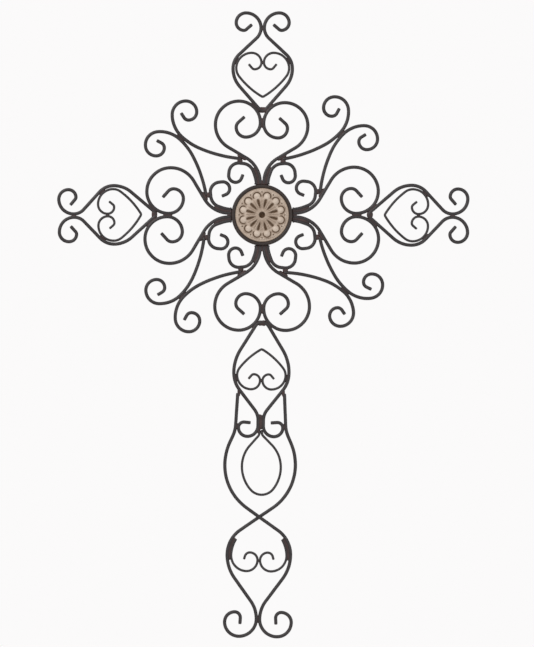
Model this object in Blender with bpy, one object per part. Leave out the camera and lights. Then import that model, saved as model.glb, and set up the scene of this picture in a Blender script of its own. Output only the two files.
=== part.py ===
"""A wall cross of scrolled wrought iron rod round a carved medallion.

Four arms leave a round cup that holds a cream rosette. Each arm starts as a bundle of four rods: two
large petal scrolls, whose loops meet on the arm's axis, between two small bud scrolls. Corner
scrolls fill the diagonals in touching pairs. Three arms end in a rod bent at a point into a
heart-shaped frame with curled ends, and a heart of thin wire sits in each. The foot has a longer
frame, a drop-shaped wire loop below it, and two side rods that cross, swell out again round a pair
of wire brow scrolls, and end in the bottom curls.

The cross stands in the X-Z plane with its front towards -Y and its back on the wall at Y = 0. The
origin is the middle of the cup's flat back. A rod's centreline is an array of complex numbers,
x + i z, and a bend schedule gives its shape: steps of (radius, degrees turned to the left), or of
(length, 0) for a straight run. The numbers of a schedule are proportions, close to millimetres, and
the rod's span, from its first end to its farthest point, sets its real size.
"""

import math

import bmesh
import bpy
import numpy as np

# Stock and welding, in metres
ROD = 0.00475  # diameter of the round rod of the scrolls and frames
WIRE = 0.0035  # diameter of the wire of the hearts, drop loop and brow scrolls
WELD_GAP = 0.0003  # daylight between two pieces that a weld joins
ROD_DEPTH = 0.006  # from the wall to the middle of the rods

# The cup and its rosette
CUP_RADIUS = 0.0445  # outside
CUP_DEPTH = 0.012  # from the wall to the front of the rim
CUP_WALL = 0.0050
CUP_FLOOR = 0.002
ROSETTE_BODY = 0.0082  # thickness of the rosette at its plain outer edge
ROSETTE_CLEARANCE = 0.0004  # all round, between the rosette and the cup
RELIEF = 0.0022  # height of the petals' pillows above the plain ground
FLUTE_DEPTH = 0.0016  # depth of the grooves between hub and pillows
EYE_DEPTH = 0.004  # depth of the hole in the middle
PETALS = 12
COLUMNS = 4  # of facets across each petal

# The arms
BUNDLE_GAP = 0.0011  # between neighbouring rods where they leave the cup
PETAL_SPAN = 0.1297
CORNER_SPAN = 0.1218
BUD_SPREAD = 0.0008  # that a bud scroll has drawn away from its petal after their first bend
BUD_LOOP_SHARE = 0.391  # radius of a bud scroll's first bend back, for a cup of radius 1
BUD_CLEARANCE = 0.0018  # between a bud scroll and the corner scroll's inner end, bridged by weld
FRAME_SPANS = {"right": 0.1457, "top": 0.1445, "left": 0.1421}
# Between the middles of frame rod and heart wire, at the widest
HEART_INSETS = {"right": 0.0057, "top": 0.0048, "left": 0.0050, "bottom": 0.0049}

# The foot
FOOT_FRAME_SPAN = 0.1675
FOOT_NECK = 0.0078  # between the middles of the frame's two halves at the neck
SIDE_ROD_SPAN = 0.3600
SIDE_ROD_DROP = 0.0300  # from the frame's widest point down to the side rods' upper ends
CROSSING_BOW = 0.040  # length over which a side rod bows out to pass the other
DROP_CLEARANCE = 0.03250  # from the bottom of the drop loop to the crossing
LOOP_LEAN = 2.0  # degrees that the drop loop swings off the foot's axis
BROW_DROP = 0.0323  # from the crossing down to the brow scrolls' upper ends

# The faceting of the rods
SIDES = 6
FACET_SAG = 1.3  # how far an arc may stand off its chords, in the units of the bend schedules
WIDEST_FACET = math.radians(45)
CUP_SIDES = 30

# Where hand bending strays from the even pattern: each scroll's arm, side and stretch
ARMS = {"right": 0, "top": 90, "left": 180, "bottom": 270}
PETAL_STRETCH = {
    ("top", "right"): 0.955,
    ("top", "left"): 0.973,
    ("right", "upper"): 1.0,
    ("right", "lower"): 1.003,
    ("bottom", "right"): 0.99,
    ("bottom", "left"): 0.987,
    ("left", "lower"): 1.01,
    ("left", "upper"): 0.988,
}
CORNER_STRETCH = {
    ("top", "right"): 1.013,
    ("top", "left"): 1.007,
    ("right", "upper"): 0.983,
    ("right", "lower"): 0.987,
    ("bottom", "right"): 0.985,
    ("bottom", "left"): 0.998,
    ("left", "lower"): 0.988,
    ("left", "upper"): 0.985,
}
# From the arm's axis to the inner end of each corner scroll
CORNER_STARTS = {
    ("top", "right"): 0.0304,
    ("top", "left"): 0.0306,
    ("right", "upper"): 0.0336,
    ("right", "lower"): 0.0318,
    ("bottom", "right"): 0.0323,
    ("bottom", "left"): 0.0306,
    ("left", "lower"): 0.0327,
    ("left", "upper"): 0.0288,
}
# Degrees that what lies beyond an arm's petals swings to the left
ARM_LEAN = {"right": -0.5, "top": 0.0, "left": 1.0, "bottom": -0.8}
CLOCKWISE_SIDE = {"right": "lower", "top": "right", "left": "upper", "bottom": "left"}
# The line on which the two corner scrolls of a quadrant meet, in degrees
CORNER_LINES = {
    ("top", "right"): 45.7,
    ("top", "left"): 136.5,
    ("left", "upper"): 136.5,
    ("left", "lower"): 225.3,
    ("bottom", "left"): 225.3,
    ("bottom", "right"): 317.6,
    ("right", "lower"): 317.6,
    ("right", "upper"): 45.7,
}

# Bend schedules, for the side of an arm that lies clockwise of its axis
PETAL_LOOP = [(34, 90), (31, 90), (21, 90), (14, 90), (10, 48), (12, 0)]
BUD_BENDS = [(17, -64), (5, 0), (14, -90), (4, 0), (10, -90), (9, -75), (6, 0)]
CORNER_BENDS = [(197, 18), (93, 20), (44, 47), (20, 90), (16, 90), (12, 90), (8, 58), (8, 0)]
FRAME_CURL = [(20, -47), (21.5, -90), (14, -90), (11, -90), (5, -41), (11, 0)]
HEART_LOBE = [(24, 90), (15, 90), (10.5, 90), (5.3, 50), (8, 0)]
FOOT_CURL = [(24, -38), (8, 0), (15, -90), (12.5, -90), (7.6, -95), (9, 0)]
SIDE_ROD_TOP = [(46, 0), (44, -21), (10, 0), (80, 24), (75, 55), (56, 0), (43, -55)]
SIDE_ROD_CURL = [(25, 90), (20.5, 90), (14.5, 90), (8, 93), (9, 0)]
DROP_BENDS = [(4, 0), (8, -43), (18, 0), (48, 43), (53, 40), (21.9, 50)]
BROW_BENDS = [(52, 28), (24, 90), (17, 90), (12, 90), (8, 78), (5, 0)]


class Rod:
    """A round rod: its centreline, its diameter, and how far it bows forward at each point."""

    def __init__(self, path, diameter, bow=0.0):
        self.path = path
        self.diameter = diameter
        self.bow = np.broadcast_to(bow, path.shape)

    def at(self, path):
        return Rod(path, self.diameter, self.bow)


def ridge_radius(diameter):
    """Centre to ridge of the polygon with the area of a round section."""
    return diameter / 2 * math.sqrt(2 * math.pi / (SIDES * math.sin(2 * math.pi / SIDES)))


def flat_radius(diameter):
    """Centre to flat of that polygon."""
    return ridge_radius(diameter) * math.cos(math.pi / SIDES)


def turned(degrees):
    return complex(math.cos(math.radians(degrees)), math.sin(math.radians(degrees)))


def trace(steps, heading):
    """Centreline of a bend schedule, from 0, with each arc as chords between points on it."""
    points = [0j]
    for size, turn in steps:
        if turn == 0:
            points.append(points[-1] + size * turned(heading))
            continue
        widest = min(2 * math.acos(max(1 - FACET_SAG / size, 0)), WIDEST_FACET)
        count = math.ceil(abs(math.radians(turn)) / widest)
        chord = 2 * size * math.sin(abs(math.radians(turn)) / count / 2)
        for _ in range(count):
            points.append(points[-1] + chord * turned(heading + turn / count / 2))
            heading += turn / count
    return np.array(points)


def mirrored(path):
    """The same path on the other side of the arm's axis."""
    return -path.conj()


def both_halves(half):
    """One path of a half that starts on the axis and its mirror image."""
    return np.concatenate([mirrored(half)[:0:-1], half])


def solve(miss, low, high):
    """The value between low and high at which miss changes sign, by halving."""
    rising = miss(high) > 0
    for _ in range(40):
        middle = (low + high) / 2
        if (miss(middle) > 0) == rising:
            high = middle
        else:
            low = middle
    return (low + high) / 2


def distance(path, other):
    """Shortest way from the points of a path to the segments of another, and the other way."""

    def one_way(points, line):
        step = np.diff(line)
        offset = points[:, None] - line[:-1]
        share = np.clip((offset * step.conj()).real / abs(step) ** 2, 0, 1)
        return abs(offset - share * step).min()

    return min(one_way(path, other), one_way(other, path))


def clearance(rod, others):
    """Room left between a rod and the nearest of the others, past the gap for the weld."""
    return min(
        distance(rod.path, other.path)
        - flat_radius(rod.diameter)
        - flat_radius(other.diameter)
        - WELD_GAP
        for other in others
    )


def travel(rod, direction, others, start, limit):
    """How far a rod can go along a direction, from a clear start, before it meets the others."""
    stride = ROD / 4
    went = start
    while went < limit and clearance(rod.at(rod.path + went * direction), others) > 0:
        went += stride
    low, high = went - stride, went
    for _ in range(24):
        middle = (low + high) / 2
        if clearance(rod.at(rod.path + middle * direction), others) > 0:
            low = middle
        else:
            high = middle
    return low


def slide(rod, direction, others, back=0.04, limit=0.1):
    """Backs a rod off, then slides it along a direction until it touches the others."""
    return rod.at(rod.path + travel(rod, direction, others, -back, limit) * direction)


def nestle(rod, direction, others):
    """Slides a rod into a cleft and eases it sideways until both sides of the cleft hold it."""
    back = 0.04
    for _ in range(5):
        rod = slide(rod, direction, others, back=back)
        rod = rod.at(rod.path - ROD / 4 * direction)
        aside = 1j * direction
        room_left = travel(rod, aside, others, 0, 2 * ROD)
        room_right = travel(rod, -aside, others, 0, 2 * ROD)
        rod = rod.at(rod.path + (room_left - room_right) / 2 * aside)
        back = 0
    return slide(rod, direction, others, back=back)


def spanned(steps, heading, span):
    """The scale at which a schedule's farthest point is one span from its start."""
    return span / abs(trace(steps, heading)).max()


def cup_exit(lateral):
    """Where a rod of an upright arm starts: its square end just clear of the cup."""
    inner_edge = max(abs(lateral) - flat_radius(ROD), 0)
    return complex(lateral, math.sqrt((CUP_RADIUS + WELD_GAP) ** 2 - inner_edge**2))


def petal_rod(span):
    """A petal scroll: it leaves beside the axis, swings away, and its loop comes back to it."""
    pitch = 2 * flat_radius(ROD) + BUNDLE_GAP
    start = cup_exit(pitch / 2)
    on_axis = flat_radius(ROD) + WELD_GAP / 2

    def bends(swing):
        return [(3, 0), (41, -swing), (30, 0), (38, swing)] + PETAL_LOOP

    def miss(swing):
        steps = bends(swing)
        inner_side = trace(steps[:6], 90)[-1] * spanned(steps, 90, span)
        return (start + inner_side).real - on_axis

    steps = bends(solve(miss, 35, 85))
    return Rod(start + trace(steps, 90) * spanned(steps, 90, span), ROD)


def corner_rod(petal, line_angle, span, start):
    """A corner scroll: its inner end lies on the petal, and its back on the quadrant's line."""
    scale = spanned(CORNER_BENDS, 0, span)
    line = turned(90 - line_angle)
    rod = Rod(np.array([0j, 0j]), ROD)
    heading = 5.0

    def placed(angle):
        return rod_start + trace(CORNER_BENDS, angle) * scale

    def miss(angle):
        return -(placed(angle) * line.conjugate()).imag.min() - (
            -flat_radius(ROD) - WELD_GAP / 2
        )

    rod_start = complex(start, petal.path.imag[0])
    for _ in range(6):
        heading = solve(miss, -25, 40)
        rod = slide(Rod(placed(heading), ROD), 1j, [petal], back=0.02)
        rod_start = rod.path[0]
    return rod


def bud_rod(petal, corner):
    """A bud scroll: it hugs its petal, goes on as far as the corner scroll leaves it, and curls."""
    pitch = 2 * flat_radius(ROD) + BUNDLE_GAP
    lead_end, bend_end = petal.path[1:3]
    hug_turn = 2 * (90 - math.degrees(np.angle(bend_end - lead_end)))
    beside_bend = bend_end + (pitch + BUD_SPREAD) * turned(-hug_turn)
    hug = np.array([cup_exit(1.5 * pitch), lead_end + pitch, beside_bend])
    scale = BUD_LOOP_SHARE * CUP_RADIUS / BUD_BENDS[0][0]

    def placed(straight):
        curl = trace([(straight, 0)] + BUD_BENDS, 90 - hug_turn) * scale
        return Rod(np.concatenate([hug, beside_bend + curl[1:]]), ROD)

    def miss(straight):
        return clearance(placed(straight), [corner]) - BUD_CLEARANCE

    return placed(solve(miss, 0.1, 25))


def frame_rod(span, point, flank, shoulder, shoulder_bend, throat, curl, half_neck):
    """A frame bent at a point on the axis: flanks, shoulders, a neck at its half width, curls."""

    def bends(opening):
        steps = [(point, opening), (flank, 0), (shoulder, 90 - opening)]
        return steps + [shoulder_bend, (throat, 0)] + curl

    def miss(opening):
        steps = bends(opening)
        neck = trace(steps[:6], 0)[-1] * spanned(steps, 0, span)
        return neck.real - half_neck

    steps = bends(solve(miss, 75, 20))
    return Rod(both_halves(trace(steps, 0) * spanned(steps, 0, span)), ROD)


def heart_rod(frame, inset):
    """A wire heart that stays one inset inside its frame at the widest, lobes touching."""
    half_width = frame.path.real.max() - inset
    on_axis = flat_radius(WIRE) + WELD_GAP / 2

    def bends(opening):
        return [(3, opening), (124, 22), (20, 68 - opening)] + HEART_LOBE

    def scale_of(steps):
        return half_width / trace(steps, 0).real.max()

    def miss(opening):
        steps = bends(opening)
        inner_side = trace(steps[:5], 0)[-1] * scale_of(steps)
        return inner_side.real - on_axis

    steps = bends(solve(miss, 60, 5))
    return Rod(both_halves(trace(steps, 0) * scale_of(steps)), WIRE)


def arm_scrolls(arm, side):
    """The petal, corner and bud scrolls on one side of an arm, with the arm pointing up."""
    clockwise = 1 if CLOCKWISE_SIDE[arm] == side else -1
    petal = petal_rod(PETAL_SPAN * PETAL_STRETCH[arm, side])
    line_angle = (CORNER_LINES[arm, side] - ARMS[arm]) * -clockwise % 360
    corner_span = CORNER_SPAN * CORNER_STRETCH[arm, side]
    corner = corner_rod(petal, line_angle, corner_span, CORNER_STARTS[arm, side])
    scrolls = {"petal": petal, "corner": corner, "bud": bud_rod(petal, corner)}
    if clockwise < 0:
        scrolls = {kind: rod.at(mirrored(rod.path)) for kind, rod in scrolls.items()}
    return scrolls


def foot_rods(frame):
    """The side rods, drop loop and brow scrolls of a foot that points up, round its frame."""
    widest = frame.path[np.argmax(frame.path.real)]
    on_axis = flat_radius(ROD) + WELD_GAP / 2
    clear_of_frame = complex(0.08, widest.imag + SIDE_ROD_DROP)
    start = clear_of_frame
    scale = 0.001

    def bends(waist):
        return SIDE_ROD_TOP + [(58, -waist), (40, 0), (44, waist)] + SIDE_ROD_CURL

    def miss(waist):
        steps = bends(waist)
        neck = trace(steps[:10], 87)[-1] * spanned(steps, 87, SIDE_ROD_SPAN)
        return (start + neck).real + on_axis

    for _ in range(4):
        beside = Rod(clear_of_frame + trace(SIDE_ROD_TOP[:4], 87) * scale, ROD)
        start = slide(beside, -1, [frame]).path[0]
        steps = bends(solve(miss, 15, 65))
        scale = spanned(steps, 87, SIDE_ROD_SPAN)
    path = start + trace(steps, 87) * scale
    before = np.argmax(path.real < 0) - 1
    share = path[before].real / (path[before].real - path[before + 1].real)
    crossing = path[before] + share * (path[before + 1] - path[before])
    path = np.insert(path, before + 1, crossing)
    away = np.minimum(abs(path - crossing) / CROSSING_BOW, 1)
    bow = (ridge_radius(ROD) + WELD_GAP / 2) * (1 + np.cos(math.pi * away)) / 2
    right_rod = Rod(path, ROD, bow)
    left_rod = Rod(mirrored(path), ROD, -bow)

    def loop(scale):
        half = trace(DROP_BENDS, 90) * scale
        half = half - half[-1]
        whole = np.concatenate([half, mirrored(half)[-2::-1]]) * turned(LOOP_LEAN)
        return nestle(Rod(whole + crossing - 1j * DROP_CLEARANCE, WIRE), -1j, [frame])

    def loop_miss(scale):
        return crossing.imag - loop(scale).path.imag.max() - DROP_CLEARANCE

    drop_loop = loop(solve(loop_miss, 0.0014, 0.0006))

    def brow(scale):
        top = complex(0.02, crossing.imag + BROW_DROP)
        return slide(Rod(top + trace(BROW_BENDS, 59) * scale, WIRE), 1, [left_rod], back=0.01)

    def brow_miss(scale):
        return brow(scale).path.real.min() - flat_radius(WIRE) - WELD_GAP / 2

    right_brow = brow(solve(brow_miss, 0.0014, 0.0006))
    return {
        "foot_side_rod_right": left_rod,
        "foot_side_rod_left": right_rod,
        "drop_loop": drop_loop,
        "brow_scroll_right": right_brow.at(mirrored(right_brow.path)),
        "brow_scroll_left": right_brow,
    }


def lay_out():
    """Every rod of the cross in its place, by name."""
    rods = {}
    arm_pairs = {}
    for arm, side in PETAL_STRETCH:
        upright_to_arm = turned(ARMS[arm] - 90)
        for kind, rod in arm_scrolls(arm, side).items():
            rods[f"{arm}_{kind}_{side}"] = rod.at(rod.path * upright_to_arm)
            if kind == "petal":
                arm_pairs.setdefault(arm, []).append(rod)

    half_touch = flat_radius(ROD) + WELD_GAP / 2
    for arm, angle in ARMS.items():
        if arm == "bottom":
            frame = frame_rod(FOOT_FRAME_SPAN, 11, 39, 62, (40, 38), 35, FOOT_CURL, FOOT_NECK / 2)
        else:
            frame = frame_rod(FRAME_SPANS[arm], 6, 43, 39, (28, 47), 34, FRAME_CURL, half_touch)
        heart = heart_rod(frame, HEART_INSETS[arm])
        widest = frame.path[np.argmax(frame.path.real)].imag
        heart_widest = heart.path[np.argmax(heart.path.real)].imag
        heart = heart.at(heart.path + 1j * (widest - heart_widest))
        group = {f"{arm}_frame": frame, f"{arm}_heart": slide(heart, 1j, [frame], back=ROD / 4)}
        if arm == "bottom":
            group.update(foot_rods(frame))
        lean = turned(ARM_LEAN[arm])
        waiting = frame.at(frame.path * lean + 1j * (CUP_RADIUS + PETAL_SPAN))
        shift = nestle(waiting, -1j, arm_pairs[arm]).path[0] - frame.path[0] * lean
        for name, rod in group.items():
            rods[name] = rod.at((rod.path * lean + shift) * turned(angle - 90))
    return rods


def material(name, colour, roughness, metallic):
    finish = bpy.data.materials.new(name)
    finish.use_nodes = True
    shader = finish.node_tree.nodes["Principled BSDF"]
    shader.inputs["Base Color"].default_value = (*colour, 1.0)
    shader.inputs["Roughness"].default_value = roughness
    shader.inputs["Metallic"].default_value = metallic
    return finish


def add_object(name, mesh_builder, finish):
    """A named object from a bmesh, its faces outwards, with one material."""
    bmesh.ops.recalc_face_normals(mesh_builder, faces=mesh_builder.faces)
    mesh = bpy.data.meshes.new(name)
    mesh_builder.to_mesh(mesh)
    mesh_builder.free()
    mesh.materials.append(finish)
    mesh.shade_smooth()
    mesh.set_sharp_from_angle(angle=math.radians(40))
    body = bpy.data.objects.new(name, mesh)
    bpy.context.collection.objects.link(body)
    return body


def sweep(rod):
    """The closed skin of a rod: a ring of corners at each point, in the plane that halves the bend."""
    step = np.diff(rod.path)
    heading = step / abs(step)
    before = np.concatenate([heading[:1], heading])
    after = np.concatenate([heading, heading[-1:]])
    along = (before + after) / abs(before + after)
    mitre = 1 / (along * before.conj()).real
    radius = ridge_radius(rod.diameter)
    builder = bmesh.new()
    rings = []
    for centre, tangent, widen, bow in zip(rod.path, along, mitre, rod.bow):
        ring = []
        for corner in range(SIDES):
            angle = math.pi / 2 + 2 * math.pi * corner / SIDES
            place = centre + 1j * tangent * widen * radius * math.cos(angle)
            depth = ROD_DEPTH + bow + radius * math.sin(angle)
            ring.append(builder.verts.new((place.real, -depth, place.imag)))
        rings.append(ring)
    for ring, following in zip(rings, rings[1:]):
        for corner in range(SIDES):
            beside = (corner + 1) % SIDES
            builder.faces.new((ring[corner], ring[beside], following[beside], following[corner]))
    builder.faces.new(rings[0])
    builder.faces.new(rings[-1])
    return builder


def turn_profile(profile, sides):
    """A closed profile of (radius, depth) points turned round the Y axis."""
    builder = bmesh.new()
    rings = []
    for radius, depth in profile:
        if radius == 0:
            rings.append([builder.verts.new((0, -depth, 0))] * sides)
            continue
        angles = [2 * math.pi * side / sides for side in range(sides)]
        rings.append([
            builder.verts.new((radius * math.cos(angle), -depth, radius * math.sin(angle)))
            for angle in angles
        ])
    for ring, following in zip(rings, rings[1:]):
        for side in range(sides):
            beside = (side + 1) % sides
            corners = [ring[side], ring[beside], following[beside], following[side]]
            builder.faces.new(list(dict.fromkeys(corners)))
    return builder


def cup_skin():
    inside = CUP_RADIUS - CUP_WALL
    profile = [
        (0, 0),
        (CUP_RADIUS, 0),
        (CUP_RADIUS, CUP_DEPTH),
        (inside, CUP_DEPTH),
        (inside, CUP_FLOOR),
        (0, CUP_FLOOR),
    ]
    return turn_profile(profile, CUP_SIDES)


def smooth_step(value, low, high):
    share = min(max((value - low) / (high - low), 0), 1)
    return share * share * (3 - 2 * share)


def relief(share, angle):
    """Height of the rosette's carving at a share of its radius, and at an angle off a petal's line.

    Each petal is a pillow with a round tip, and a flute runs down its middle to the hub.
    """
    half_pitch = math.pi / PETALS
    tip = 1 - (angle / half_pitch) ** 2
    pillow = smooth_step(share, 0.56, 0.66)
    pillow *= 1 - smooth_step(share, 0.70 + 0.12 * tip, 0.76 + 0.12 * tip)
    pillow *= 1 - 0.55 * smooth_step(abs(angle) / half_pitch, 0.5, 1.0)
    blade = 0.55 * (1 - smooth_step(share, 0.6, 0.8))
    flute = smooth_step(share, 0.2, 0.3) * (1 - smooth_step(share, 0.56, 0.64))
    flute *= 1 - smooth_step(abs(angle) / half_pitch, 0.1, 0.5)
    edge = 1 - 0.6 * smooth_step(share, 0.92, 1.0)
    return RELIEF * max(pillow, blade) + RELIEF * 0.4 * edge - FLUTE_DEPTH * flute


def rosette_skin():
    """The rosette: a disc with its back on the cup's floor and twelve petals carved in its front."""
    radius = CUP_RADIUS - CUP_WALL - ROSETTE_CLEARANCE
    back = CUP_FLOOR + WELD_GAP
    columns = COLUMNS * PETALS
    shares = [0.105, 0.115, 0.22, 0.4, 0.56, 0.66, 0.78, 0.88, 1.0]
    builder = bmesh.new()

    def ring(share, depth_at):
        corners = []
        for column in range(columns):
            turn = 2 * math.pi * column / columns
            off_petal = (column % COLUMNS - COLUMNS // 2) * 2 * math.pi / columns
            depth = depth_at(share, off_petal)
            place = (share * radius * math.cos(turn), -depth, share * radius * math.sin(turn))
            corners.append(builder.verts.new(place))
        return corners

    def front(share, off_petal):
        return back + ROSETTE_BODY + relief(share, off_petal)

    eye_floor = back + ROSETTE_BODY + RELIEF - EYE_DEPTH
    rings = [[builder.verts.new((0, -eye_floor, 0))] * columns]
    rings.append(ring(shares[0], lambda share, off_petal: eye_floor))
    rings += [ring(share, front) for share in shares[1:]]
    rings.append(ring(1.0, lambda share, off_petal: back))
    rings.append([builder.verts.new((0, -back, 0))] * columns)
    for inner, outer in zip(rings, rings[1:]):
        for column in range(columns):
            beside = (column + 1) % columns
            corners = [inner[column], inner[beside], outer[beside], outer[column]]
            builder.faces.new(list(dict.fromkeys(corners)))
    return builder


def main():
    for old in list(bpy.data.objects):
        bpy.data.objects.remove(old, do_unlink=True)
    iron = material("wrought_iron", (0.045, 0.035, 0.032), 0.55, 0.6)
    cream = material("antiqued_cream", (0.52, 0.43, 0.33), 0.7, 0.0)
    for name, rod in lay_out().items():
        add_object(name, sweep(rod), iron)
    add_object("medallion_cup", cup_skin(), iron)
    add_object("rosette", rosette_skin(), cream)


main()
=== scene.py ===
"""A wall cross of scrolled wrought iron rod round a carved cream rosette, dressed for the camera.

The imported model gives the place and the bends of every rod. Its solids are bars with a few flat
sides, bent along short chords. Here each bar becomes a round rod again, with the true arcs of its
bends, the slight unevenness of hand work, and weld metal where the pieces meet.

The cross stands in the X-Z plane with its front towards -Y and its back on the wall at Y = 0. A
place in that plane is a complex number, x + i z. Lengths are in metres unless a name says mm.
"""

import math
from itertools import accumulate

import bpy
import numpy as np
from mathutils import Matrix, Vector


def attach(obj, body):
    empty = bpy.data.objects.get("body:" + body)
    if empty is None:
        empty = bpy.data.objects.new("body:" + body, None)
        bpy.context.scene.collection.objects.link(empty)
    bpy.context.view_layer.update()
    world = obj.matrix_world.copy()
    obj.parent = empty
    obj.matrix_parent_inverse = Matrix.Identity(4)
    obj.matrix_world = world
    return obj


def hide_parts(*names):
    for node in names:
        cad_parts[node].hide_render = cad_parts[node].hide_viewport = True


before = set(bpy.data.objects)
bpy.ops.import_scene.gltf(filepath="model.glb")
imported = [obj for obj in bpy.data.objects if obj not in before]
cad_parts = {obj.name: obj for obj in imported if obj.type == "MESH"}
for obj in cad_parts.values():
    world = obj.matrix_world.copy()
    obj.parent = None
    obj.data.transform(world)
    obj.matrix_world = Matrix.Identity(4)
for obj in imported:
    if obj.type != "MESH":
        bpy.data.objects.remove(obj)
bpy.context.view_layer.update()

MM = 0.001

# The photograph: its size, the place of the cup's middle in it, and its scale
PHOTO_WIDTH_PX = 534
PHOTO_HEIGHT_PX = 647
CUP_MIDDLE_PX = (262.05, 215.05)
MM_PER_PX = 1.458

# Rods and wires
ROD_DIAMETER = 4.95 * MM  # with the paint
WIRE_DIAMETER = 3.6 * MM
ROD_DEPTH = 6.0 * MM  # from the wall to the middle of the rods
RING_SPACING = 1.5 * MM  # between the rings of a rod's skin
ROD_COLUMNS = 18
TIP_CHAMFER = 0.5 * MM
TIP_SHARE = 0.78  # of the radius that is left at the very tip
CROSSING_BOW = 40.0 * MM  # length over which a side rod bows out to pass the other
LEAST_TURN = math.radians(0.3)  # between two chords, below which they are one straight

# The waver of a rod's radius: travel for a radian of the sine, turns round the rod, and weight
ROD_WAVER = [(7.3 * MM, 2, 1.0), (4.1 * MM, 3, 1.0), (19 * MM, 0, 0.7), (2.3 * MM, -1, 0.5)]
WAVER_SHARE = 0.009  # of the radius, for a weight of 1

# Cup and rosette
CUP_RADIUS = 44.5 * MM
CUP_DEPTH = 12.0 * MM
CUP_WALL = 5.0 * MM
CUP_FLOOR = 2.0 * MM
CUP_LIP_ROUND = 1.8 * MM
CUP_CHAMFER = 0.6 * MM  # round the edge of the back
CUP_EDGE_BAND = 3.0 * MM  # of skin along an edge, which keeps the shading of a flat face even
CUP_BACK_BAND = 8.0 * MM
CENTRE_RADIUS = 0.5 * MM  # of the first and the last ring of the cup's skin
CUP_COLUMNS = 144
ROSETTE_RADIUS = 39.1 * MM
ROSETTE_BACK = 2.3 * MM
ROSETTE_GROUND = 11.3 * MM  # from the wall to the plain ground round the petals
ROSETTE_CHAMFER = 0.25 * MM
PETALS = 12

# The rosette's carving: distances from its middle, or from a bulb's, in mm
EYE_EDGE_MM = (3.4, 5.0)
HUB_MM = 6.2
FLUTE_START_MM = (7.5, 15)
FLUTE_END_MM = (22.4, 24.6)
FLUTE_HALF_WIDTH_MM = (0.75, 2.0)  # at its inner and at its outer end
FLUTE_SPREAD_MM = (8, 20)  # where it widens from one to the other
BLADE_EDGE_MM = (21, 25)  # where the raised blades between the flutes slope down
BULB_MM = 28.0
BULB_EDGE_MM = (0.3, 5.4)
BULB_DRAWN_IN = 0.68  # share of a distance that counts on the side of the flute
ARCH_GROOVE_MM = 5.6
ARCH_RIM_MM = 6.7
OUTER_GROOVE_MM = 7.7
ARCH_OPENING_MM = 4.5  # from a bulb's middle inwards to where the arch has faded out
PIT_MM = 33.4
SUNK_EDGE_MM = (35.3, 36.2)
# Painted shade: the rosette's outer edge is darkened next to the cup's wall
PAINTED_SHADE_EDGE_MM = (37.0, 38.8)

# Weld beads: their length, width and thickness
CUP_BEAD = (23 * MM, 4.2 * MM, 4.4 * MM)
PETAL_BEAD = (15 * MM, 4.6 * MM, 4.2 * MM)  # petal scroll to corner scroll
BUD_BEAD = (8 * MM, 6.8 * MM, 4.2 * MM)  # bud scroll to corner scroll
POINT_BEAD = (12 * MM, 8.4 * MM, 4.6 * MM)  # inside a frame's point
HEART_LOBE_BEAD = (5 * MM, 2.4 * MM, 2.8 * MM)
HEART_SIDE_BEAD = (13 * MM, 2.8 * MM, 3.2 * MM)
CORNER_BEAD = (15 * MM, 3.6 * MM, 4.2 * MM)  # corner scroll to corner scroll
SIDE_ROD_BEAD = (14 * MM, 4.6 * MM, 4.2 * MM)  # side rod's upper end to the foot's frame
FRAME_CURL_BEAD = (9 * MM, 3.4 * MM, 4.0 * MM)  # side rod to a curl of the foot's frame
CROSSING_BEAD = (7 * MM, 3.4 * MM, 4.0 * MM)
FOOT_CURL_BEAD = (11 * MM, 3.4 * MM, 4.0 * MM)
BROW_BEAD = (4 * MM, 3.4 * MM, 4.0 * MM)
DROP_BEAD = (12 * MM, 3.4 * MM, 4.0 * MM)
CUP_BEAD_OFFSET = 1.0 * MM  # of the cup's beads outside its wall
POINT_BEAD_OFFSET = 1.0 * MM
RIPPLE_RADIAN = 0.225 * MM  # travel along a bead for a radian of its ripples
BEAD_RINGS = 22
WELD_COLUMNS = 16

# Weld webs: how far apart the middles of two rods may be for the metal to fill between them
STEM_REACH = 7.2 * MM  # bud scroll and petal scroll
FRAME_REACH = 5.95 * MM  # frame and petal scroll, and the two sides of a frame's neck
BUNDLE_REACH = {"right": 6.0 * MM, "top": 6.0 * MM, "left": 6.0 * MM, "bottom": 6.6 * MM}
LOOP_REACH = 7.35 * MM  # the curled ends of two petal scrolls
FOOT_NECK_REACH = 11.0 * MM
BROW_REACH = 6.4 * MM
WEB_THICKNESS = 4.0 * MM
BROW_THICKNESS = 3.6 * MM

# How far from the cup's middle, along an arm, the parts begin or end that a weld is looked for on
STEM_END = 70 * MM
BUNDLE_END = 80 * MM
LOOPS_START = 100 * MM
NECK_START = 200 * MM
LOBES_START = 205 * MM
SIDE_ROD_TOP_END = 275 * MM
FRAME_CURL_START = 280 * MM
CROSSING_START = 400 * MM
FOOT_CURL_START = 570 * MM

random = np.random.default_rng(12)


def faces_of_grid(rows, columns, start=0):
    """Quads of a grid of points that closes on itself across the columns, row after row."""
    row, column = np.meshgrid(np.arange(rows - 1), np.arange(columns), indexing="ij")
    beside = (column + 1) % columns
    corners = [row * columns + column, row * columns + beside]
    corners += [(row + 1) * columns + beside, (row + 1) * columns + column]
    return np.stack(corners, axis=-1).reshape(-1, 4) + start


def closed_skin(grid):
    """Points and faces of a closed skin: a grid of rings and a point in the middle of each end ring.

    The grid has the shape (rings, columns, 3), and seen along the way from the first ring to the
    last the columns run so that the faces point outwards.
    """
    rings, columns = grid.shape[:2]
    ends = np.stack([grid[0].mean(axis=0), grid[-1].mean(axis=0)])
    points = np.concatenate([grid.reshape(-1, 3), ends])
    column = np.arange(columns)
    beside = (column + 1) % columns
    first, last = rings * columns, rings * columns + 1
    back = (rings - 1) * columns
    near_cap = np.stack([np.full(columns, first), beside, column], axis=1)
    far_cap = np.stack([np.full(columns, last), back + column, back + beside], axis=1)
    faces = faces_of_grid(rings, columns).tolist() + near_cap.tolist() + far_cap.tolist()
    return points, faces


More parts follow.
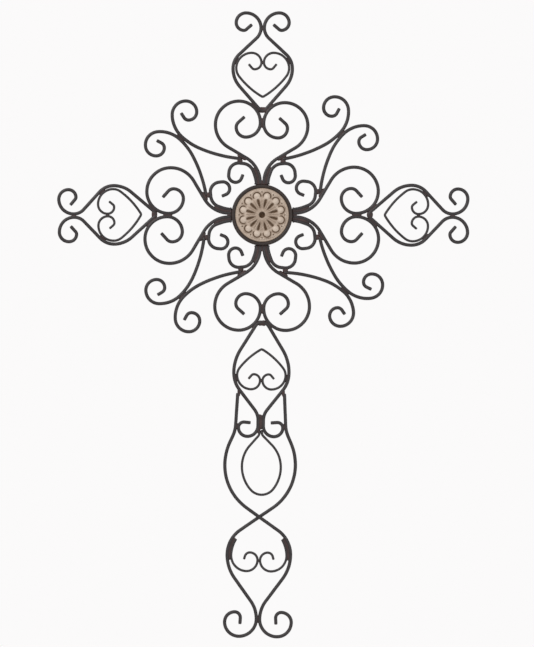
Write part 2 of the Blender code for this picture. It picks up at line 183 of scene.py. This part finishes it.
def joined(skins):
    """One list of points and one of faces from several skins."""
    points, faces, count = [], [], 0
    for skin_points, skin_faces in skins:
        points.append(skin_points)
        faces += [[corner + count for corner in face] for face in skin_faces]
        count += len(skin_points)
    return np.concatenate(points), faces


def add_piece(name, skin, material, replaced=None):
    """A shown piece from points and faces. It rides on the cross and may stand for a CAD node."""
    points, faces = skin
    mesh = bpy.data.meshes.new(name)
    mesh.from_pydata(points.tolist(), [], faces)
    mesh.materials.append(material)
    mesh.shade_smooth()
    mesh.set_sharp_from_angle(angle=math.radians(50))
    piece = bpy.data.objects.new(name, mesh)
    bpy.context.scene.collection.objects.link(piece)
    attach(piece, "root")
    if replaced:
        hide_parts(replaced)
    return piece


def give_attribute(piece, name, values):
    """Stores one number a point on a piece, for its material to read."""
    attribute = piece.data.attributes.new(name, "FLOAT", "POINT")
    attribute.data.foreach_set("value", np.ascontiguousarray(values, dtype=np.float32))


# The bends of the rods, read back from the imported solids


def ring_middles(node):
    """Middles of a bar's rings in order, as places in the plane, with their depth from the wall.

    A ring has its front and its back ridge at one place in the plane, farther apart in depth than
    any other two corners. The mesh's edges along the ridges give the order of the rings.
    """
    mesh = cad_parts[node].data
    corners = np.empty(len(mesh.vertices) * 3)
    mesh.vertices.foreach_get("co", corners)
    corners = corners.reshape(-1, 3)
    ground = np.round(corners[:, [0, 2]], 5)
    spots, spot_of = np.unique(ground, axis=0, return_inverse=True)
    spot_of = spot_of.ravel()
    front = np.full(len(spots), np.inf)
    back = np.full(len(spots), -np.inf)
    np.minimum.at(front, spot_of, corners[:, 1])
    np.maximum.at(back, spot_of, corners[:, 1])
    middle = (back - front) > 0.75 * (back - front).max()
    count = np.bincount(spot_of)
    east = np.bincount(spot_of, corners[:, 0]) / count
    up = np.bincount(spot_of, corners[:, 2]) / count
    loops = np.empty(len(mesh.loops), dtype=int)
    mesh.loops.foreach_get("vertex_index", loops)
    triangle = spot_of[loops].reshape(-1, 3)
    edges = np.concatenate([triangle[:, [0, 1]], triangle[:, [1, 2]], triangle[:, [2, 0]]])
    along = middle[edges].all(axis=1) & (edges[:, 0] != edges[:, 1])
    edges = np.unique(edges[along], axis=0)
    here = edges[np.bincount(edges[:, 0])[edges[:, 0]] == 1][0, 0]
    order = [here]
    while True:
        onward = [spot for spot in edges[edges[:, 0] == here, 1] if spot not in order[-2:]]
        if not onward:
            break
        here = onward[0]
        order.append(here)
    return east[order] + 1j * up[order], -(front + back)[order] / 2


def tangents(path):
    """Heading at each point of a path whose first chord is straight and whose others are arcs.

    The two ends of an arc have headings that mirror each other about its chord, so each heading
    is twice the chord's, less the one before.
    """
    chords = np.unwrap(np.angle(np.diff(path)))
    mirrored = accumulate(chords, lambda tangent, chord: 2 * chord - tangent, initial=chords[0])
    return np.array(list(mirrored))


def unevenness(path):
    """How far the headings stray from the chords, which is least when the path starts at its tip."""
    chords = np.unwrap(np.angle(np.diff(path)))
    return abs(tangents(path)[1:] - chords).max()


class Centreline:
    """The middle of a rod at close steps: places, headings and depths from the wall."""

    def __init__(self, node):
        path, depth = ring_middles(node)
        turn = np.diff(np.unwrap(np.angle(np.diff(path))))
        crossing = path[np.argmax(abs(depth - ROD_DEPTH))]
        bow = depth[np.argmax(abs(depth - ROD_DEPTH))] - ROD_DEPTH
        kept = np.concatenate([[True], abs(turn) > LEAST_TURN, [True]])
        path = path[kept]
        path = min([path, path[::-1]], key=unevenness)
        heading = tangents(path)
        chord = np.diff(path)
        bend = np.diff(heading)
        half = np.where(abs(bend) < 1e-4, 1e-4, bend) / 2
        length = abs(chord) * half / np.sin(half)
        steps = np.ceil(length / RING_SPACING).astype(int)
        arc = np.repeat(np.arange(len(chord)), steps)
        share = (np.arange(steps.sum()) - np.repeat(np.cumsum(steps) - steps, steps)) / steps[arc]
        reach = np.sin(half[arc] * share) / np.sin(half[arc])
        place = path[arc] + chord[arc] * reach * np.exp(1j * half[arc] * (share - 1))
        self.place = np.append(place, path[-1])
        self.heading = np.append(heading[arc] + bend[arc] * share, heading[-1])
        away = np.minimum(abs(self.place - crossing) / CROSSING_BOW, 1)
        self.depth = ROD_DEPTH + bow * (1 + np.cos(math.pi * away)) / 2

    def only(self, chosen):
        """The points of the line that a choice of yes or no for each of them keeps."""
        cut = object.__new__(Centreline)
        cut.place, cut.heading, cut.depth = self.place[chosen], self.heading[chosen], self.depth[chosen]
        return cut


def rod_skin(line, diameter):
    """A round rod along a centreline: rings of points at a radius that wavers by a part in fifty.

    A point is the middle plus the radius times cosine and sine of its angle along the two
    directions across the rod. Each tip ends in a small chamfer and a flat cut.
    """
    travelled = np.concatenate([[0], np.cumsum(abs(np.diff(line.place)))])
    to_tip = np.minimum(travelled, travelled[-1] - travelled)
    angle = 2 * math.pi * np.arange(ROD_COLUMNS) / ROD_COLUMNS
    phases = random.uniform(0, 2 * math.pi, len(ROD_WAVER))
    wave = sum(
        weight * np.sin(travelled[:, None] / radian + turns * angle + phase)
        for (radian, turns, weight), phase in zip(ROD_WAVER, phases)
    )
    chamfer = TIP_SHARE + (1 - TIP_SHARE) * np.minimum(to_tip / TIP_CHAMFER, 1)[:, None]
    radius = diameter / 2 * (1 + WAVER_SHARE * wave) * chamfer
    aside = 1j * np.exp(1j * line.heading)
    place = line.place[:, None] + aside[:, None] * radius * np.cos(angle)
    depth = line.depth[:, None] + radius * np.sin(angle)
    return closed_skin(np.stack([place.real, -depth, place.imag], axis=-1))


# Weld metal


def contact(line, other):
    """Where two lines come closest: the middle between them, the heading there, and the depth."""
    apart = abs(line.place[:, None] - other.place[None, :])
    near, far = np.unravel_index(np.argmin(apart), apart.shape)
    middle = (line.place[near] + other.place[far]) / 2
    depth = (line.depth[near] + other.depth[far]) / 2
    return middle, line.heading[near], depth


def weld_bead(middle, heading, depth, size):
    """A bead of weld metal: an egg drawn out along the joint, with the ripples of its puddles.

    Along the joint the girth goes as the square root of one less the fourth power of the share,
    a sine in the travel lifts the ripples, and two slower ones make it uneven.
    """
    length, width, thickness = size
    share = np.linspace(-0.995, 0.995, BEAD_RINGS)[:, None]
    along = share * length / 2
    angle = 2 * math.pi * np.arange(WELD_COLUMNS)[None, :] / WELD_COLUMNS
    phase = random.uniform(0, 2 * math.pi, 3)
    girth = np.sqrt(1 - share**4)
    lumps = 1 + 0.05 * np.sin(along / RIPPLE_RADIAN + 0.8 * np.cos(angle) + phase[0])
    lumps += 0.06 * np.sin(2 * angle + 3 * share + phase[1]) + 0.05 * np.sin(4 * share + phase[2])
    across = girth * lumps * width / 2 * np.cos(angle)
    out = girth * lumps * thickness / 2 * np.sin(angle)
    ahead = np.exp(1j * heading)
    place = middle + ahead * along + 1j * ahead * across
    return closed_skin(np.stack([place.real, -(depth + out), place.imag], axis=-1))


def web(line, other, reach, thickness=WEB_THICKNESS):
    """A web of weld metal that fills the groove between two lines, as far as they are within reach.

    It reaches from the middle of one to the middle of the other. A ring is an ellipse round the
    place midway, its ends are drawn in as the root of one less the eighth power of the share, and
    slow sines make it lumpy.
    """
    apart = abs(line.place[:, None] - other.place[None, :])
    close = np.flatnonzero(apart.min(axis=1) < reach)
    opposite = other.place[apart.argmin(axis=1)[close]]
    middle = (line.place[close] + opposite)[:, None] / 2
    share = np.linspace(-0.98, 0.98, len(close))[:, None]
    angle = 2 * math.pi * np.arange(WELD_COLUMNS)[None, :] / WELD_COLUMNS
    phase = random.uniform(0, 2 * math.pi, 2)
    girth = np.sqrt(1 - share**8)
    waver = np.sin(close[:, None] * 1.1 + phase[0]) + np.sin(2 * angle + share + phase[1])
    lumps = 1 + 0.05 * waver
    across = girth * abs(line.place[close] - opposite)[:, None] / 2 * np.cos(angle)
    out = girth * lumps * thickness / 2 * np.sin(angle)
    place = middle + 1j * np.exp(1j * line.heading[close])[:, None] * across
    depth = line.depth[close][:, None] + out
    return closed_skin(np.stack([place.real, -depth, place.imag], axis=-1))


ARMS = {"right": 0, "top": 90, "left": 180, "bottom": 270}
SIDES = {"top": ("left", "right"), "bottom": ("left", "right")}
SIDES |= {"left": ("lower", "upper"), "right": ("lower", "upper")}


def arm_welds(arm, lines):
    """Weld metal of one arm: its bundle at the cup, its scrolls, and its frame and heart."""
    outward = np.exp(1j * math.radians(ARMS[arm]))
    across = math.radians(ARMS[arm] + 90)

    def half(line, side, start=0.0):
        """The part of a line on one side of the arm's axis and farther out than a start."""
        place = line.place / outward
        return line.only((place.imag * side > 0) & (place.real > start))

    cup_joint = outward * (CUP_RADIUS + CUP_BEAD_OFFSET)
    skins = [weld_bead(cup_joint, across, ROD_DEPTH, CUP_BEAD)]
    frame_line, heart = lines[f"{arm}_frame"], lines[f"{arm}_heart"]
    petals = []
    for side in SIDES[arm]:
        petal, corner, bud = (lines[f"{arm}_{kind}_{side}"] for kind in ("petal", "corner", "bud"))
        petals.append(petal)
        skins.append(web(bud.only(abs(bud.place) < STEM_END), petal, STEM_REACH))
        skins.append(weld_bead(*contact(petal, corner), PETAL_BEAD))
        skins.append(weld_bead(*contact(bud, corner), BUD_BEAD))
        skins.append(web(frame_line, petal, FRAME_REACH))
    bundle = petals[0].only(abs(petals[0].place) < BUNDLE_END)
    skins.append(web(bundle, petals[1], BUNDLE_REACH[arm]))
    loops = [petal.only((petal.place / outward).real > LOOPS_START) for petal in petals]
    skins.append(web(*loops, LOOP_REACH))
    point = frame_line.place[len(frame_line.place) // 2] + outward * POINT_BEAD_OFFSET
    skins.append(weld_bead(point, across, ROD_DEPTH, POINT_BEAD))
    neck = [half(frame_line, side, NECK_START) for side in (1, -1)]
    skins.append(web(*neck, FOOT_NECK_REACH if arm == "bottom" else FRAME_REACH))
    lobes = [half(heart, side, LOBES_START) for side in (1, -1)]
    skins.append(weld_bead(*contact(*lobes), HEART_LOBE_BEAD))
    for side in (1, -1):
        skins.append(weld_bead(*contact(half(heart, side), half(frame_line, side)), HEART_SIDE_BEAD))
    return joined(skins)


def quadrant_welds(lines):
    """Beads where the corner scrolls of neighbouring arms lie back to back."""
    pairs = [
        ("top_corner_right", "right_corner_upper"),
        ("top_corner_left", "left_corner_upper"),
        ("bottom_corner_right", "right_corner_lower"),
        ("bottom_corner_left", "left_corner_lower"),
    ]
    return joined([weld_bead(*contact(lines[one], lines[two]), CORNER_BEAD) for one, two in pairs])


def foot_welds(lines):
    """Weld metal of the foot: side rods, drop loop and brow scrolls."""
    foot_frame = lines["bottom_frame"]
    side_rods = [lines["foot_side_rod_left"], lines["foot_side_rod_right"]]
    brow_left, brow_right = lines["brow_scroll_left"], lines["brow_scroll_right"]

    def below(start):
        return [rod.only(-rod.place.imag > start) for rod in side_rods]

    joints = [(rod, foot_frame, FRAME_CURL_BEAD) for rod in below(FRAME_CURL_START)]
    joints += [
        (*below(CROSSING_START), CROSSING_BEAD),
        (*below(FOOT_CURL_START), FOOT_CURL_BEAD),
        (brow_left, brow_right, BROW_BEAD),
        (lines["drop_loop"], foot_frame, DROP_BEAD),
    ]
    upper_ends = [rod.only(-rod.place.imag < SIDE_ROD_TOP_END) for rod in side_rods]
    joints += [(rod, foot_frame, SIDE_ROD_BEAD) for rod in upper_ends]
    skins = [weld_bead(*contact(one, two), size) for one, two, size in joints]
    skins.append(web(brow_left, side_rods[1], BROW_REACH, BROW_THICKNESS))
    skins.append(web(brow_right, side_rods[0], BROW_REACH, BROW_THICKNESS))
    return joined(skins)


# The cup and the rosette


def lathe(profile, columns):
    """A profile of radius and depth turned round the Y axis, closed by a point at each end."""
    radius, depth = np.array(profile).T
    angle = -2 * math.pi * np.arange(columns) / columns
    across = radius[:, None] * np.cos(angle)
    up = radius[:, None] * np.sin(angle)
    return closed_skin(np.stack([across, np.broadcast_to(-depth[:, None], across.shape), up], axis=-1))


def rounded(corner_radius, middle, start, end, steps=6):
    """Points of a quarter round in a profile: a circle's arc between two angles in degrees."""
    across, along = middle
    turns = np.radians(np.linspace(start, end, steps))
    return [(across + corner_radius * np.cos(turn), along + corner_radius * np.sin(turn)) for turn in turns]


def cup_profile():
    """Round the cup from the middle of its back to the middle of its floor."""
    inside = CUP_RADIUS - CUP_WALL
    below_lip = CUP_DEPTH - CUP_LIP_ROUND
    near_lip = CUP_DEPTH - CUP_EDGE_BAND
    profile = [(CENTRE_RADIUS, 0), (CUP_RADIUS - CUP_BACK_BAND, 0), (CUP_RADIUS - CUP_CHAMFER, 0)]
    profile += [(CUP_RADIUS, CUP_CHAMFER), (CUP_RADIUS, CUP_EDGE_BAND), (CUP_RADIUS, near_lip)]
    profile += rounded(CUP_LIP_ROUND, (CUP_RADIUS - CUP_LIP_ROUND, below_lip), 0, 90)
    profile += rounded(CUP_LIP_ROUND, (inside + CUP_LIP_ROUND, below_lip), 90, 180)
    profile += [(inside, near_lip), (inside, CUP_FLOOR), (CENTRE_RADIUS, CUP_FLOOR)]
    return profile


def ramp(value, low, high):
    """Smoothly from 0 at low to 1 at high."""
    share = np.clip((value - low) / (high - low), 0, 1)
    return share * share * (3 - 2 * share)


def bump(value, middle, width):
    """A smooth hill of height 1 that falls off as a bell curve."""
    return np.exp(-(((value - middle) / width) ** 2))


def rosette_carving(radius_mm, angle):
    """Height of the carving in mm and share of darkening, brown wash with some painted shade, at a radius
    and an angle off a petal's line.

    Each petal is a tongue: a flute runs down its middle, and a round bulb at its tip lies inside
    an arched groove and rim, which are rings round the bulb's middle. Small pits sit between the
    arches, and a ring surrounds the eye. Each form is a share from 0 to 1 of the surface, and both
    results are sums of these shares times what a row of the list gives them.
    """
    across = radius_mm * np.sin(angle)
    past_bulb = radius_mm * np.cos(angle) - BULB_MM
    off_parting = radius_mm * np.sin(math.pi / PETALS - abs(angle))
    drawn_in = np.where(past_bulb < 0, BULB_DRAWN_IN, 1.0)
    bulb = 1 - ramp(np.hypot(across, drawn_in * past_bulb), *BULB_EDGE_MM)
    from_bulb = np.hypot(across, past_bulb)
    arched = ramp(past_bulb, -ARCH_OPENING_MM, 0)
    narrow, wide = FLUTE_HALF_WIDTH_MM
    flute_width = narrow + (wide - narrow) * ramp(radius_mm, *FLUTE_SPREAD_MM)
    flute = np.exp(-(abs(across / flute_width) ** 2.6))
    flute = flute * ramp(radius_mm, *FLUTE_START_MM) * (1 - ramp(radius_mm, *FLUTE_END_MM))
    parting = bump(off_parting, 0, 0.45) * ramp(radius_mm, 9, 13) * (1 - ramp(radius_mm, 27, 30))
    rounding = ramp(radius_mm, 8, 12) * (1 - ramp(radius_mm, 20, 24)) * (1 - bump(off_parting, 0, 1.2))
    forms = [
        # share, height in mm, wash and painted shade
        (bulb, 1.3, -0.16),
        # the arched groove: brown wash in it, widened by painted shade beside it
        (bump(from_bulb, ARCH_GROOVE_MM, 0.95) * arched, -0.8, 1.0),
        (bump(from_bulb, ARCH_RIM_MM, 0.6) * arched, 0.5, 0.0),
        (bump(from_bulb, OUTER_GROOVE_MM, 0.5) * arched, -0.3, 0.3),
        (flute, -1.9, 0.7),
        (1 - ramp(radius_mm, *BLADE_EDGE_MM), 0.75, 0.0),
        (1 - ramp(radius_mm, 21, 26), 0.0, 0.22),
        (rounding, 0.5, 0.0),
        (parting, -0.5, 0.1),
        (np.exp(-(np.hypot(off_parting, radius_mm - PIT_MM) ** 4)), -0.9, 1.1),
        (bump(radius_mm, HUB_MM, 1.7), 0.6, 0.0),
        (bump(radius_mm, 10.5, 2.5), 0.0, 0.1),
        (1 - ramp(radius_mm, *EYE_EDGE_MM), -4.2, 0.8),
        # the border sinks below the ground; its slight darkening is painted shade from the cup's wall
        (ramp(radius_mm, *SUNK_EDGE_MM), -0.9, 0.08),
        # painted shade: darker towards the edge, next to the cup's wall
        (ramp(radius_mm, *PAINTED_SHADE_EDGE_MM), 0.0, 0.3),
        (1.0, 0.0, 0.16),
    ]
    height = sum(share * lift for share, lift, _ in forms)
    wash_and_shade = sum(share * darkening for share, _, darkening in forms)
    return height, np.clip(wash_and_shade, 0, 1)


def rosette_skin():
    """The rosette as a polar grid: from the eye out over the carving, round the edge and to the back."""
    columns = 32 * PETALS
    angle = 2 * math.pi * np.arange(columns) / columns
    pitch = 2 * math.pi / PETALS
    off_petal = (angle % pitch) - pitch / 2
    centre, edge, chamfer = 0.4, ROSETTE_RADIUS / MM, ROSETTE_CHAMFER / MM
    carved = np.linspace(centre, edge - 0.6, 118)
    radius = np.concatenate([carved, [edge - chamfer, edge, edge, edge, centre]])
    height, wash_and_shade = rosette_carving(radius[:, None], off_petal[None, :])
    depth = ROSETTE_GROUND / MM + height
    face = depth[-5].copy()
    depth[-4] = face - chamfer
    depth[-3] = face - 3
    depth[-2:] = ROSETTE_BACK / MM
    wash_and_shade[-5:] = 0.5
    across = radius[:, None] * np.cos(angle)
    up = radius[:, None] * np.sin(angle)
    grid = np.stack([across, -depth, up], axis=-1) * MM
    eye_and_back = [1.0, 0.0]
    return closed_skin(grid), np.append(wash_and_shade.ravel(), eye_and_back)


# Materials

# Sizes of the patterns
PAINT_PATCH = 9.0 * MM
PAINT_GRAIN = 1.6 * MM  # coarser than the real one, so that the render shows it
HAMMER_DIMPLE = 5.0 * MM
CREAM_CLOUD = 7.0 * MM
CREAM_SPECKLE = 1.5 * MM
BOARD_CLOUD = 60.0 * MM

NOISE_ROUGHNESS = 0.55
PAINT_IOR = 1.5
MATT_PAINT_IOR = 1.48

# A Mix node's sockets for colours, by number, because its other kinds have sockets of the same names
MIX_SHARE = 0
MIX_LOW = 6
MIX_HIGH = 7
MIX_COLOUR = 2


def linear(code):
    """The linear colour of an sRGB hex value."""
    share = np.array([int(code[place : place + 2], 16) for place in (1, 3, 5)]) / 255
    value = np.where(share <= 0.04045, share / 12.92, ((share + 0.055) / 1.055) ** 2.4)
    return (*value.tolist(), 1.0)


def add_node(tree, kind, settings, links=()):
    """Adds a node to a tree: settings name its properties or inputs, links feed its inputs."""
    node = tree.nodes.new(kind)
    for name, value in settings.items():
        if isinstance(name, str) and hasattr(node, name):
            setattr(node, name, value)
        else:
            node.inputs[name].default_value = value
    for name, source in links:
        tree.links.new(source, node.inputs[name])
    return node


def new_material(name):
    """An empty material, its tree, and the link that feeds the object's own coordinates to a node."""
    material = bpy.data.materials.new(name)
    material.use_nodes = True
    tree = material.node_tree
    tree.nodes.clear()
    place = add_node(tree, "ShaderNodeTexCoord", {})
    return material, tree, [("Vector", place.outputs["Object"])]


def painted_iron(name, dark, light, roughness):
    """Forged iron under brushed brown-black paint.

    The eye sees soft patches of thicker, lighter paint, a half-matt sheen that changes over a fine
    grain, and the shallow dimples of the hammer under both.
    """
    material, tree, on_object = new_material(name)
    settings = {"Scale": 1 / PAINT_PATCH, "Detail": 3.0, "Roughness": NOISE_ROUGHNESS}
    patches = add_node(tree, "ShaderNodeTexNoise", settings, on_object)
    settings = {"From Min": 0.35, "From Max": 0.7}
    share = add_node(tree, "ShaderNodeMapRange", settings, [("Value", patches.outputs[0])])
    settings = {"data_type": "RGBA", MIX_LOW: linear(dark), MIX_HIGH: linear(light)}
    colour = add_node(tree, "ShaderNodeMix", settings, [(MIX_SHARE, share.outputs[0])])
    settings = {"Scale": 1 / PAINT_GRAIN, "Detail": 3.0, "Roughness": NOISE_ROUGHNESS}
    grain = add_node(tree, "ShaderNodeTexNoise", settings, on_object)
    settings = {"From Min": 0.3, "From Max": 0.7, "To Min": roughness - 0.08, "To Max": roughness + 0.08}
    rough = add_node(tree, "ShaderNodeMapRange", settings, [("Value", grain.outputs[0])])
    settings = {"Scale": 1 / HAMMER_DIMPLE, "Detail": 1.0, "Roughness": NOISE_ROUGHNESS}
    dimples = add_node(tree, "ShaderNodeTexNoise", settings, on_object)
    settings = {"Strength": 0.5, "Distance": 0.25 * MM}
    hammered = add_node(tree, "ShaderNodeBump", settings, [("Height", dimples.outputs[0])])
    settings = {"Strength": 0.5, "Distance": 0.12 * MM}
    links = [("Height", grain.outputs[0]), ("Normal", hammered.outputs[0])]
    grained = add_node(tree, "ShaderNodeBump", settings, links)
    links = [
        ("Base Color", colour.outputs[MIX_COLOUR]),
        ("Roughness", rough.outputs[0]),
        ("Normal", grained.outputs[0]),
    ]
    shader = add_node(tree, "ShaderNodeBsdfPrincipled", {"IOR": PAINT_IOR}, links)
    add_node(tree, "ShaderNodeOutputMaterial", {}, [("Surface", shader.outputs["BSDF"])])
    return material


def antiqued_cream():
    """Cream matt paint over a cast rosette, with a brown wash wiped off all but its hollows.

    The eye sees the cloudy cream on the raised forms, a tan film where the wash was wiped, and
    brown where it lies deep. The wash is an attribute of the rosette's points, which also holds
    painted shade by the cup's wall and beside the arched grooves, and a fine speckle breaks its
    edges. Where it is thick it is also duller.
    """
    material, tree, on_object = new_material("antiqued_cream_paint")
    settings = {"Scale": 1 / CREAM_CLOUD, "Detail": 3.0, "Roughness": NOISE_ROUGHNESS}
    clouds = add_node(tree, "ShaderNodeTexNoise", settings, on_object)
    settings = {"From Min": 0.35, "From Max": 0.68}
    share = add_node(tree, "ShaderNodeMapRange", settings, [("Value", clouds.outputs[0])])
    settings = {"data_type": "RGBA", MIX_LOW: linear("#d0bfae"), MIX_HIGH: linear("#bdab9b")}
    cream = add_node(tree, "ShaderNodeMix", settings, [(MIX_SHARE, share.outputs[0])])
    settings = {"Scale": 1 / CREAM_SPECKLE, "Detail": 3.0, "Roughness": NOISE_ROUGHNESS}
    speckle = add_node(tree, "ShaderNodeTexNoise", settings, on_object)
    settings = {"From Min": 0.35, "From Max": 0.65, "To Min": -0.12, "To Max": 0.12}
    wiped = add_node(tree, "ShaderNodeMapRange", settings, [("Value", speckle.outputs[0])])
    wash_and_shade = add_node(tree, "ShaderNodeAttribute", {"attribute_name": "wash_and_shade"})
    links = [(0, wash_and_shade.outputs["Fac"]), (1, wiped.outputs[0])]
    amount = add_node(tree, "ShaderNodeMath", {"operation": "ADD", "use_clamp": True}, links)
    thin = add_node(tree, "ShaderNodeMapRange", {"From Max": 0.45}, [("Value", amount.outputs[0])])
    links = [(MIX_SHARE, thin.outputs[0]), (MIX_LOW, cream.outputs[MIX_COLOUR])]
    tan = add_node(tree, "ShaderNodeMix", {"data_type": "RGBA", MIX_HIGH: linear("#a18d7b")}, links)
    deep = add_node(tree, "ShaderNodeMapRange", {"From Min": 0.45}, [("Value", amount.outputs[0])])
    links = [(MIX_SHARE, deep.outputs[0]), (MIX_LOW, tan.outputs[MIX_COLOUR])]
    brown = add_node(tree, "ShaderNodeMix", {"data_type": "RGBA", MIX_HIGH: linear("#4a3219")}, links)
    settings = {"To Min": 0.55, "To Max": 0.8}
    rough = add_node(tree, "ShaderNodeMapRange", settings, [("Value", amount.outputs[0])])
    settings = {"Strength": 0.4, "Distance": 0.15 * MM}
    grained = add_node(tree, "ShaderNodeBump", settings, [("Height", speckle.outputs[0])])
    links = [
        ("Base Color", brown.outputs[MIX_COLOUR]),
        ("Roughness", rough.outputs[0]),
        ("Normal", grained.outputs[0]),
    ]
    shader = add_node(tree, "ShaderNodeBsdfPrincipled", {"IOR": MATT_PAINT_IOR}, links)
    add_node(tree, "ShaderNodeOutputMaterial", {}, [("Surface", shader.outputs["BSDF"])])
    return material


def dress_cross():
    """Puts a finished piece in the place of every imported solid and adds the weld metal."""
    iron = painted_iron("painted_wrought_iron", "#241f1f", "#322b2b", 0.5)
    weld = painted_iron("painted_weld_metal", "#2f1f1d", "#402a27", 0.6)
    lines = {}
    for node in sorted(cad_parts):
        if node in ("medallion_cup", "rosette"):
            continue
        lines[node] = Centreline(node)
        wire = "heart" in node or "brow" in node or "drop" in node
        skin = rod_skin(lines[node], WIRE_DIAMETER if wire else ROD_DIAMETER)
        add_piece(node + "_rod", skin, iron, node)
    for arm in ARMS:
        add_piece(f"{arm}_weld_metal", arm_welds(arm, lines), weld)
    add_piece("corner_weld_metal", quadrant_welds(lines), weld)
    add_piece("foot_weld_metal", foot_welds(lines), weld)
    ring_iron = painted_iron("painted_iron_ring", "#211611", "#2f2119", 0.5)
    add_piece("round_cup", lathe(cup_profile(), CUP_COLUMNS), ring_iron, "medallion_cup")
    skin, wash_and_shade = rosette_skin()
    carved = add_piece("carved_rosette", skin, antiqued_cream(), "rosette")
    give_attribute(carved, "wash_and_shade", wash_and_shade)


# The studio

FLOOR_HEIGHT = -0.76
FLOOR_RADIUS = 0.75
CAMERA_DISTANCE = 4.0
SENSOR_WIDTH_MM = 36.0
LIT_POINT = (0, 0, -0.1)


def studio_floor():
    """A pale floor below the cross, with a round far edge that the straight view doesn't reach."""
    rows, columns = 12, 64
    angle = 2 * math.pi * np.arange(columns) / columns
    radius = np.linspace(0.05, FLOOR_RADIUS, rows)[:, None]
    across, along = radius * np.cos(angle), radius * np.sin(angle)
    points = np.stack([across, along, np.full_like(across, FLOOR_HEIGHT)], axis=-1).reshape(-1, 3)
    faces = faces_of_grid(rows, columns).tolist() + [list(range(columns))[::-1]]
    faces = [face[::-1] for face in faces]
    mesh = bpy.data.meshes.new("studio_floor")
    mesh.from_pydata(points.tolist(), [], faces)
    material, tree, on_object = new_material("pale_matt_board")
    settings = {"Scale": 1 / BOARD_CLOUD, "Detail": 3.0, "Roughness": NOISE_ROUGHNESS}
    clouds = add_node(tree, "ShaderNodeTexNoise", settings, on_object)
    settings = {"data_type": "RGBA", MIX_LOW: linear("#e9e8e6"), MIX_HIGH: linear("#efeeec")}
    colour = add_node(tree, "ShaderNodeMix", settings, [(MIX_SHARE, clouds.outputs[0])])
    links = [("Base Color", colour.outputs[MIX_COLOUR])]
    shader = add_node(tree, "ShaderNodeBsdfPrincipled", {"Roughness": 0.9}, links)
    add_node(tree, "ShaderNodeOutputMaterial", {}, [("Surface", shader.outputs["BSDF"])])
    mesh.materials.append(material)
    floor = bpy.data.objects.new("studio_floor", mesh)
    bpy.context.scene.collection.objects.link(floor)


def area_light(name, place, width, power):
    """A square soft light that faces the cross."""
    light = bpy.data.lights.new(name, "AREA")
    light.size = width
    light.energy = power
    lamp = bpy.data.objects.new(name, light)
    bpy.context.scene.collection.objects.link(lamp)
    lamp.location = place
    way = Vector(LIT_POINT) - Vector(place)
    lamp.rotation_euler = way.to_track_quat("-Z", "Y").to_euler()


def studio_light():
    """Even white surroundings for the camera, a dimmer grey for the light, and two soft lamps."""
    world = bpy.data.worlds.new("studio")
    bpy.context.scene.world = world
    world.use_nodes = True
    tree = world.node_tree
    tree.nodes.clear()
    ray = add_node(tree, "ShaderNodeLightPath", {})
    around = add_node(tree, "ShaderNodeBackground", {"Color": (0.95, 0.97, 1.0, 1.0), "Strength": 0.55})
    seen = add_node(tree, "ShaderNodeBackground", {"Color": linear("#fbfafa"), "Strength": 1.0})
    links = [(0, ray.outputs["Is Camera Ray"]), (1, around.outputs[0]), (2, seen.outputs[0])]
    mix = add_node(tree, "ShaderNodeMixShader", {}, links)
    add_node(tree, "ShaderNodeOutputWorld", {}, [("Surface", mix.outputs[0])])
    area_light("soft_key", place=(-1.7, -1.9, 1.5), width=1.3, power=48)
    area_light("soft_fill", place=(1.6, -2.4, -0.2), width=1.8, power=20)


def photo_camera():
    """A camera straight in front, with a lens and a place that fit the cross to the photo's frame."""
    camera = bpy.data.cameras.new("photo_camera")
    frame_height = PHOTO_HEIGHT_PX * MM_PER_PX * MM
    camera.sensor_width = SENSOR_WIDTH_MM
    camera.lens = camera.sensor_width * CAMERA_DISTANCE / frame_height
    holder = bpy.data.objects.new("photo_camera", camera)
    across = (PHOTO_WIDTH_PX / 2 - CUP_MIDDLE_PX[0]) * MM_PER_PX * MM
    up = (CUP_MIDDLE_PX[1] - PHOTO_HEIGHT_PX / 2) * MM_PER_PX * MM
    holder.location = (across, -ROD_DEPTH - CAMERA_DISTANCE, up)
    holder.rotation_euler = (math.pi / 2, 0, 0)
    bpy.context.scene.collection.objects.link(holder)
    bpy.context.scene.camera = holder


dress_cross()
studio_floor()
studio_light()
photo_camera()
bpy.context.scene.view_settings.view_transform = "Standard"

bpy.context.view_layer.update()
